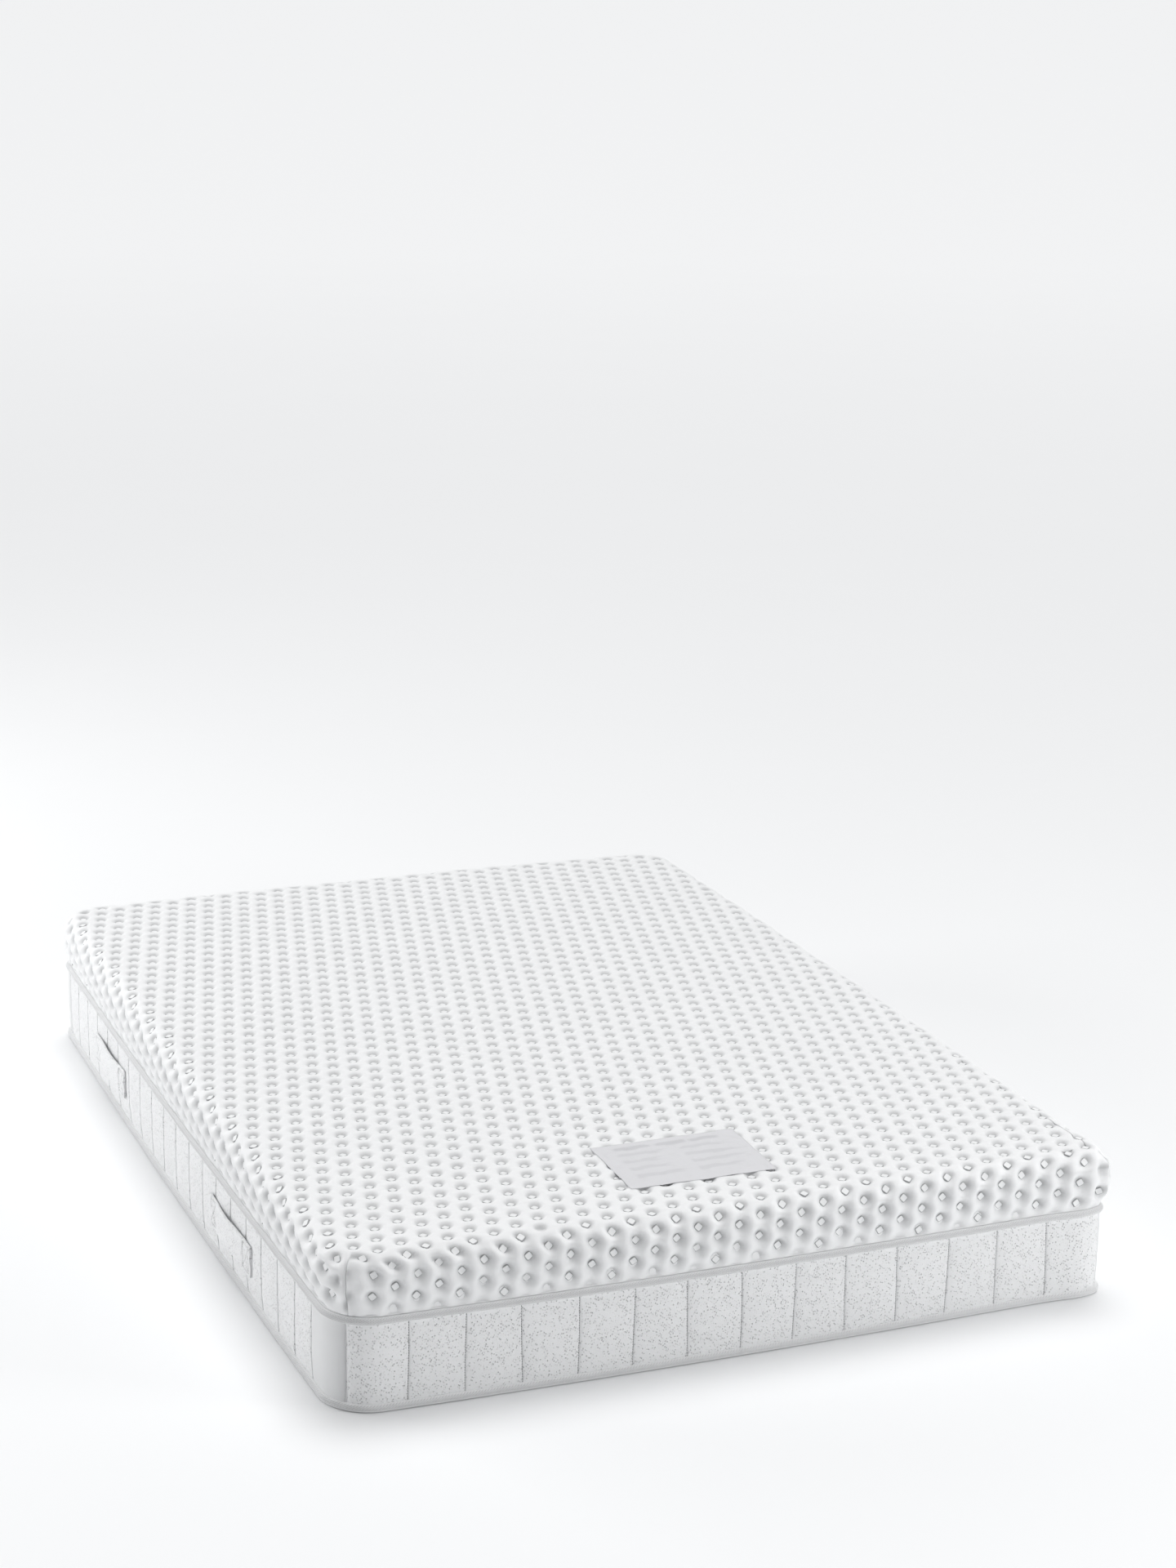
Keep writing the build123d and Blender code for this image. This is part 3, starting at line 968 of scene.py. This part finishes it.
def panel_lines():
    """For each border strip, its first and last outline length and the quilt lines between them."""
    end_lines = [END_PITCH * (k - END_LINES // 2) for k in range(END_LINES)]
    side_y = [SIDE_FIRST_Y + SIDE_PITCH * k for k in range(SIDE_LINES)]
    right = [side_u(y, True) for y in side_y]
    left = sorted(side_u(y, False) for y in side_y)
    half = 2 * QUARTER
    return {
        "foot": (-PANEL_END, PANEL_END, end_lines),
        "right": (PANEL_END, half - PANEL_END, right),
        "head": (half - PANEL_END, half + PANEL_END, [half + u for u in end_lines]),
        "left": (half + PANEL_END, 2 * half - PANEL_END, left),
    }


def lean(u, z):
    """Sideways drift of the quilting with height, since each line is sewn by a hand-fed machine."""
    return 0.0015 * np.sin(u * 21.0) * (z / 0.13) + 0.0008 * np.sin(u * 47.0 + z * 26)


def border_puff(u, z, lines, start, stop):
    """How far a quilted strip stands out from its stitch lines."""
    low, high = TAPE_H, BASE_TOP - TAPE_H
    places = np.array([start, *lines, stop])
    away = np.min(np.abs(u[..., None] - places), axis=-1)
    pillow = 1 - 0.50 * np.exp(-away / 0.0022) - 0.50 * np.exp(-away / 0.022)
    up = (z - low) / (high - low)
    height = np.clip(4 * up * (1 - up), 0, 1) ** 0.45
    pocket = 0.0005 * wander(u * 1.2, z * 2.2, 0.03)
    before = np.min(np.abs(u[..., None] - places + 0.0020), axis=-1)
    slit = QUILT_SLIT * hump(away, 0.0008)
    lip = 0.0008 * hump(before, 0.0010)
    return BORDER_PUFF * pillow * (0.25 + 0.75 * height) + pocket * pillow - (slit - lip)


def flare(u, z, start):
    """On the long sides the quilt lines curve towards the foot end as they reach the floor."""
    turn = 1.0 if start > 2 * QUARTER else -1.0 if 0 < start < QUARTER else 0.0
    return turn * SIDE_FLARE * (0.5 + 0.5 * np.sin(u * 9.0)) * smooth(z, 0.055, 0.010)


def border_place(u, z, out, start, stop):
    """Point of a border strip, whose quilting leans and whose two ends stay straight."""
    ends = smooth(np.minimum(u - start, stop - u), 0.0, 0.05)
    plan, normal = outline(u + (lean(u, z) + flare(u, z, start)) * ends)
    flat = plan + normal * (out - BORDER_IN)[..., None]
    return np.concatenate([flat, z[..., None]], -1)


def quilted_stations(lines, start, stop):
    """Stations along a strip: even between the quilt lines, and crowded into the groove of each line."""
    groove = np.array([-0.0040, -0.0022, -0.0013, -0.0007, 0.0, 0.0007, 0.0013, 0.0022, 0.0040])
    even = np.linspace(start, stop, round((stop - start) / 0.0075) + 1)
    clear = np.min(np.abs(even[:, None] - np.array(lines)), axis=1) > 0.0065
    grooves = (np.array(lines)[:, None] + groove).ravel()
    return np.unique(np.concatenate([even[clear], [start, stop], grooves]))


def border_panels():
    """Four padded strips with a stitched groove at every quilt line, and their stitches."""
    low, high = TAPE_H - 0.002, BASE_TOP - TAPE_H + 0.002
    z = np.concatenate([[low], np.linspace(TAPE_H, BASE_TOP - TAPE_H, 19), [high]])
    for side, (start, stop, lines) in panel_lines().items():
        uu, zz = np.meshgrid(quilted_stations(lines, start, stop), z)
        out = border_puff(uu, np.clip(zz, TAPE_H, BASE_TOP - TAPE_H), lines, start, stop)
        front = border_place(uu, zz, out, start, stop)
        back = border_place(uu, zz, np.full(uu.shape, -0.0050), start, stop)
        f_index = numbered(front)
        b_index = f_index + f_index.size
        rim = np.concatenate([f_index[0, :-1], f_index[:-1, -1], f_index[-1, :0:-1], f_index[:0:-1, 0]])
        joined = np.stack([rim, rim + f_index.size])
        faces = np.concatenate([quads(f_index), quads(b_index)[:, ::-1], quads(joined, wrap=True)[:, ::-1]])
        points = np.concatenate([front.reshape(-1, 3), back.reshape(-1, 3)])
        uv = np.tile(np.stack([uu, zz], -1).reshape(-1, 2), (2, 1))
        # tone rises towards 2 at the quilt lines, where the material paints shade into their grooves
        sewn = np.min(np.abs(uu[..., None] - np.array(lines)), axis=-1)
        if side in ("foot", "head"):
            tone = 1 + hump(sewn, 0.0007)
        else:
            pitted = smooth(uu, lines[0] - 0.004, lines[0] + 0.002)
            tone = pitted * smooth(uu, lines[-1] + 0.004, lines[-1] - 0.002) + hump(sewn, 0.0011)
        panel = piece(f"quilted_border_{side}", points, faces, BORDER_KNIT, "mattress_base",
                      uv=uv, tone=np.tile(tone.ravel(), 2), replaces=[f"border_panel_{side}"])
        quilt_stitches(side, lines, start, stop)


def stitch_mesh(centres, along, facing, length, width, height):
    """Small rounded stitches, each a six-sided bead drawn out along its thread."""
    ring = np.linspace(0, 2 * math.pi, 6, endpoint=False)
    local = np.array([(t * length, swell * width / 2 * math.cos(a), swell * height * math.sin(a))
                      for t, swell in ((-0.5, 0.25), (-0.36, 0.85), (0.0, 1.0), (0.36, 0.85), (0.5, 0.25))
                      for a in ring])
    index = np.arange(30).reshape(5, 6)
    one = quads(index, wrap=True).tolist() + [index[0, ::-1].tolist(), index[-1].tolist()]
    return copies(local, one, centres, along, np.cross(facing, along), facing)


def quilt_stitches(side, lines, start, stop):
    """A line of stitches down each quilt line of a border strip."""
    z = np.arange(TAPE_H + 0.003, BASE_TOP - TAPE_H - 0.002, STITCH_PITCH)
    if side in ("foot", "head"):
        lines = [start + 0.001, *lines, stop - 0.001]
    u, zz = np.meshgrid(lines, z)
    out = np.full(u.shape, 0.0003 - QUILT_SLIT / 2)
    centre = border_place(u, zz, out, start, stop).reshape(-1, 3)
    up = np.tile([0.0, 0.0, 1.0], (len(centre), 1))
    points, faces = stitch_mesh(centre, up, level(outline(u.ravel())[1]), 0.0028, 0.0010, 0.0005)
    piece(f"quilt_stitches_{side}", points, faces, THREAD, "mattress_base")


# ---- tape edges

def tape(name, low, ribbed_low, ribbed_high, high, replaces):
    """Edging tape right round: a folded band that bellies out, with slanting ribs and a plain lip."""
    ribs = round(LOOP_LEN / RIB_PITCH)
    count = 6 * ribs
    u = np.arange(count) * LOOP_LEN / count
    plan, normal = outline(u)
    ends = [(-TAPE_T, low + 0.0008), (-0.0022, low + 0.0002), (-0.0004, low + 0.0010)]
    plain = np.linspace(low + 0.0022, ribbed_low - 0.0006, 2)
    face = [(0.0, z) for z in (*plain, *np.linspace(ribbed_low, ribbed_high, 7))]
    top = [(-0.0006, high - 0.0006), (-0.0022, high - 0.0001), (-TAPE_T, high - 0.0006)]
    rings, tones = [], []
    for grow, z in ends + face + top:
        rib = np.maximum(np.sin(2 * math.pi * (u * ribs / LOOP_LEN - z / RIB_SLOPE / RIB_PITCH)), -0.7)
        at = smooth(z, ribbed_low - 0.0004, ribbed_low + 0.0010)
        at = at * smooth(z, ribbed_high + 0.0008, ribbed_high - 0.0008)
        drift = 0.0004 * wander(u, z, 0.08)
        share = np.clip((z - low) / (high - low), 0, 1)
        grow = grow + TAPE_BELLY * math.sin(math.pi * share) ** 0.7
        grow = grow + 0.0012 * hump(z - low - 0.0022, 0.0012) - 0.0010 * hump(z - ribbed_low, 0.0008)
        rings.append(ring_at(plan, normal, grow + 0.0010 * rib * at + drift, z + drift * 0.5))
        # tone is painted shade: in the grooves between the ribs and in the crease where the ribs start
        groove = 0.6 * hump(z - ribbed_low + 0.0003, 0.0006)
        tones.append(0.9 * smooth(rib, -0.45, -0.7) * at + groove)
    rings = np.array(rings + [rings[-1], rings[0]])
    tones = np.array(tones + [tones[-1], tones[0]])
    rings[-2:, :, :2] -= normal * 0.0008
    index = numbered(rings)
    index = np.concatenate([index, index[:1]])
    uv = np.column_stack([np.tile(u, len(rings)), rings[..., 2].ravel()])
    piece(name, rings, quads(index, wrap=True), TAPE_TWILL, "mattress_base",
          uv=uv, tone=tones, replaces=[replaces])


def tapes():
    low = BASE_TOP - TAPE_H
    tape("upper_tape", low, low + 0.0032, BASE_TOP - 0.0012, BASE_TOP, "upper_tape_edge")
    tape("lower_tape", 0.0, 0.0055, TAPE_H - 0.0008, TAPE_H, "lower_tape_edge")


# ---- handles

def strap_section():
    """Cross-section of a strap as (out, up) on a unit thickness, flat-backed with round edges."""
    r = HANDLE_T * 0.48
    reach = HANDLE_H / 2 - r
    turn = np.linspace(0, math.pi, 6)[1:-1]
    front = [(1.0, z) for z in np.linspace(-reach, reach, 23)]
    high = [(0.5 + 0.5 * math.cos(a), reach + r * math.sin(a)) for a in turn]
    back = [(0.0, z) for z in np.linspace(reach, -reach, 6)]
    low = [(0.5 - 0.5 * math.cos(a), -reach - r * math.sin(a)) for a in turn]
    return np.array(front + high + back + low)


def sewn_lines():
    """The stitched square and cross of a strap's end, as (start, stop) pairs of (distance in, height)."""
    near, far, high = 0.006, HANDLE_END - 0.004, HANDLE_H / 2 - 0.006
    square = [(near, -high), (far, -high), (far, high), (near, high)]
    sides = list(zip(square, square[1:] + square[:1]))
    return sides + [(square[0], square[2]), (square[1], square[3])]


def sewn_distance(inward, height):
    """Distance from a point of a strap's end to the nearest sewn line."""
    point = np.stack(np.broadcast_arrays(inward, height), -1)
    found = []
    for start, stop in np.array(sewn_lines()):
        run = stop - start
        share = np.clip((point - start) @ run / (run @ run), 0, 1)
        found.append(np.linalg.norm(point - start - share[..., None] * run, axis=-1))
    return np.min(found, axis=0)


def strap_front(inward, height):
    """How far the front of a strap stands off its back, and how far its back stands off the border."""
    end_share = smooth(inward, HANDLE_END + 0.004, HANDLE_END - 0.008)
    free = np.clip((HANDLE_LEN / 2 - inward) / (HANDLE_LEN / 2 - HANDLE_END), 0, 1)
    lift = STRAP_STAND_OFF * (1 - smooth(free)) + 0.0008
    upper = np.clip(height / (HANDLE_H / 2), 0, 1)
    lift = lift + 0.0014 * upper ** 2 * smooth(inward, HANDLE_END * 0.8, HANDLE_END * 1.6)
    sewn = 0.0022 * hump(sewn_distance(inward, height), 0.0022) * end_share
    edge = 0.6 + 0.4 * smooth(inward, 0.0, 0.003)
    body = HANDLE_T * edge * (1 - 0.12 * end_share) + 0.0006 * wander(inward, height, 0.014)
    return body - sewn, lift


def strap_z(y, height):
    """Height over the floor of a point of a strap, whose seam wavers a little."""
    return HANDLE_Z + height + 0.0012 * np.sin(y * 41)


def handle(side, place):
    """One strap handle in two halves, which bend from their sewn ends to the loose middle."""
    middle = HANDLE_Y[place]
    section = strap_section()
    half = HANDLE_LEN / 2
    grip = f"handle_grip_{side}_{place}"
    for part, towards, node in (("foot_half", -1, f"handle_ends_{side}_{place}"), ("head_half", 1, grip)):
        inward = np.linspace(0, half, 62)[::-towards]
        y = middle + towards * (half - inward)
        plan, normal = outline(side_u(y, side == "right"))
        front, lift = strap_front(inward[:, None], section[None, :, 1])
        out = STRAP_BASE + lift + front * section[None, :, 0]
        flat = plan[:, None] + normal[:, None] * out[..., None]
        rows = np.concatenate([flat, strap_z(y[:, None], section[None, :, 1])[..., None]], -1)
        index = numbered(rows)
        faces, caps = quads(index, wrap=True), np.array([index[0], index[-1][::-1]])
        if side == "right":
            faces, caps = faces[:, ::-1], caps[:, ::-1]
        uv = np.stack([np.broadcast_to(y[:, None], index.shape), rows[..., 2]], -1)
        # tone above 1 along the sewn square and cross paints shade into their stitched grooves
        sewn = 0.75 * hump(sewn_distance(inward[:, None], section[None, :, 1]), 0.0014)
        strap = piece(f"handle_{side}_{place}_{part}", rows, faces.tolist() + caps.tolist(), HANDLE_KNIT,
                      None, uv=uv, tone=1 + sewn, replaces=[node])
        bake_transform(strap)
    handle_stitches(side, place)


def handle_stitches(side, place):
    """The stitches of the square and cross at both ends of a strap."""
    spots = []
    for start, stop in np.array(sewn_lines()):
        run = np.linalg.norm(stop - start)
        share = (np.arange(int(run / STITCH_PITCH)) + 0.5) * STITCH_PITCH / run
        spots += [(*(start + t * (stop - start)), *((stop - start) / run)) for t in share]
    inward, height, run_in, run_up = np.array(spots).T
    front, lift = strap_front(inward, height)
    found = []
    for towards in (-1, 1):
        y = HANDLE_Y[place] + towards * (HANDLE_LEN / 2 - inward)
        plan, normal = outline(side_u(y, side == "right"))
        centre = ring_at(plan, normal, STRAP_BASE + lift + front + 0.0002, strap_z(y, height))
        along = np.column_stack([np.zeros(len(y)), -towards * run_in, run_up])
        found.append((centre, along, level(normal)))
    centre, along, facing = (np.concatenate(part) for part in zip(*found))
    points, faces = stitch_mesh(centre, along, facing, 0.0033, 0.0012, 0.0007)
    piece(f"handle_stitches_{side}_{place}", points, faces, THREAD, "mattress_base")


# ---- label

def label():
    """The printed satin sheet, sagging into the dimples under it and lifting a little between them."""
    width, length = LABEL_SIZE
    x = np.linspace(-width / 2, width / 2, 86) + LABEL_AT[0]
    y = np.linspace(-length / 2, length / 2, 60) + LABEL_AT[1]
    xx, yy = np.meshgrid(x, y)
    rim = np.min([xx - x[0], x[-1] - xx, yy - y[0], y[-1] - yy], axis=0)
    hold = 0.30 - 0.22 * smooth(rim, 0.012, 0.0)
    sag = hold * dimple(np.stack([xx, yy], -1), 0.0)
    z = COVER_TOP + crown(xx, yy) - sag + 0.0008 + 0.0006 * wander(xx, yy, 0.03)
    uv = np.stack([(xx - x[0]) / width, (yy - y[0]) / length], -1)
    sheet = piece("printed_label", np.stack([xx, yy, z], -1), quads(numbered(xx)), LABEL_SATIN, "top_cover",
                  uv=uv, replaces=["care_label"])
    thickness = sheet.modifiers.new("cloth_thickness", "SOLIDIFY")
    thickness.thickness = 0.0004


# ---- zip

def zip_tapes():
    """Two woven tapes in the groove, each with its row of coil teeth along the meeting edge."""
    meet = BASE_TOP + 0.002
    low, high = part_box("zip_tape_lower")[0].z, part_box("zip_tape_upper")[1].z
    count = round(LOOP_LEN / STITCH_PITCH)
    # name, height from and to, outward place, height of the teeth, shift of the teeth, body
    for half, bottom, top, grow, teeth_z, shift, body in (
        ("lower", low, meet - 0.0002, -0.005, meet - 0.0011, 0.0, "mattress_base"),
        ("upper", meet + 0.0002, high, -0.0046, meet + 0.0011, STITCH_PITCH / 2, "top_cover"),
    ):
        plan, normal = outline(loop_stations(0.012)[0])
        section = [(-0.0012, bottom), (-0.0004, bottom), (-0.0004, top), (-0.0012, top)]
        rings = np.array([ring_at(plan, normal, grow + back, z) for back, z in section])
        index = numbered(rings)
        index = np.concatenate([index, index[:1]])
        plan, normal = outline(np.arange(count) * LOOP_LEN / count + shift)
        centre = ring_at(plan, normal, grow - 0.0003, teeth_z)
        up = np.tile([0.0, 0.0, 1.0], (count, 1))
        teeth, teeth_faces = stitch_mesh(centre, up, level(normal), 0.0024, 0.0019, 0.0009)
        piece(f"zip_{half}_tape", rings, quads(index, wrap=True), ZIP_CLOTH, body,
              replaces=[f"zip_tape_{half}"])
        piece(f"zip_{half}_teeth", teeth, teeth_faces, THREAD, body)


def dress_cad_nodes():
    """Gives the CAD nodes that stay their own materials."""
    kept = {"zip_slider": ZIP_METAL, "zip_pull_tab": ZIP_METAL, "border_wadding": WADDING}
    for node, material in kept.items():
        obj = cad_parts[node]
        obj.data.materials.clear()
        obj.data.materials.append(material)


# ---- floor, light and camera

def stage_floor():
    """Pale floor that runs far out, rises a little past its flat part and is lighter further away."""
    ring = np.linspace(0, 2 * math.pi, 96, endpoint=False)
    points = [(0, 0, 0)]
    for r in (2.0, 8.0, FLOOR_FLAT, 800.0):
        rise_z = FLOOR_SLOPE * max(0.0, r - FLOOR_FLAT)
        points += [(r * math.cos(a), r * math.sin(a), rise_z) for a in ring]
    faces = [(0, 1 + k, 1 + (k + 1) % 96) for k in range(96)]
    faces += quads(np.arange(1, 1 + 4 * 96).reshape(4, 96), wrap=True)[:, ::-1].tolist()
    s = Shader("studio_floor", roughness=0.9, sheen=0.0)
    away = s.node("ShaderNodeVectorMath", {0: s.solid}, output=1, operation="LENGTH")
    speck = s.times(s.noise(s.solid, 1.2, 2), 0.1)
    s.colour(s.plus(s.ease(away, *FLOOR_EASE), speck), grey(0.895), grey(0.99))
    mesh = bpy.data.meshes.new("studio_floor")
    mesh.from_pydata(points, [], faces)
    mesh.materials.append(s.material)
    add_object("studio_floor", mesh)


def aim(light, along):
    light.rotation_euler = Vector(along).to_track_quat("-Z", "Y").to_euler()


def studio():
    """Two wide soft suns from above, an area light for each visible side, and a dim sky."""
    world = bpy.data.worlds.new("studio_sky")
    world.use_nodes = True
    sky = world.node_tree.nodes["Background"]
    sky.inputs["Color"].default_value = SKY_COLOUR
    sky.inputs["Strength"].default_value = SKY_STRENGTH
    bpy.context.scene.world = world
    for name, (along, strength, spread) in SUNS.items():
        data = bpy.data.lights.new(name, "SUN")
        data.energy = strength
        data.angle = math.radians(spread)
        aim(add_object(name, data), along)
    for name, (at, target, size, power) in AREA_LIGHTS.items():
        data = bpy.data.lights.new(name, "AREA")
        data.shape = "RECTANGLE"
        data.size, data.size_y = size
        data.energy = power
        light = add_object(name, data)
        light.location = at
        light.visible_camera = False
        aim(light, Vector(target) - Vector(at))
    bpy.context.scene.view_settings.view_transform = "Standard"


def camera():
    data = bpy.data.cameras.new("camera")
    data.sensor_width = 36
    data.lens = CAMERA_LENS
    view = add_object("camera", data)
    view.location = CAMERA_AT
    view.rotation_euler = [math.radians(a) for a in CAMERA_TURN]
    bpy.context.scene.camera = view


camera()
stage_floor()
studio()
cover_shell()
pucks()
cover_backing()
label()
border_panels()
tapes()
for handle_side in ("left", "right"):
    for handle_place in HANDLE_Y:
        handle(handle_side, handle_place)
zip_tapes()
fillings()
dress_cad_nodes()
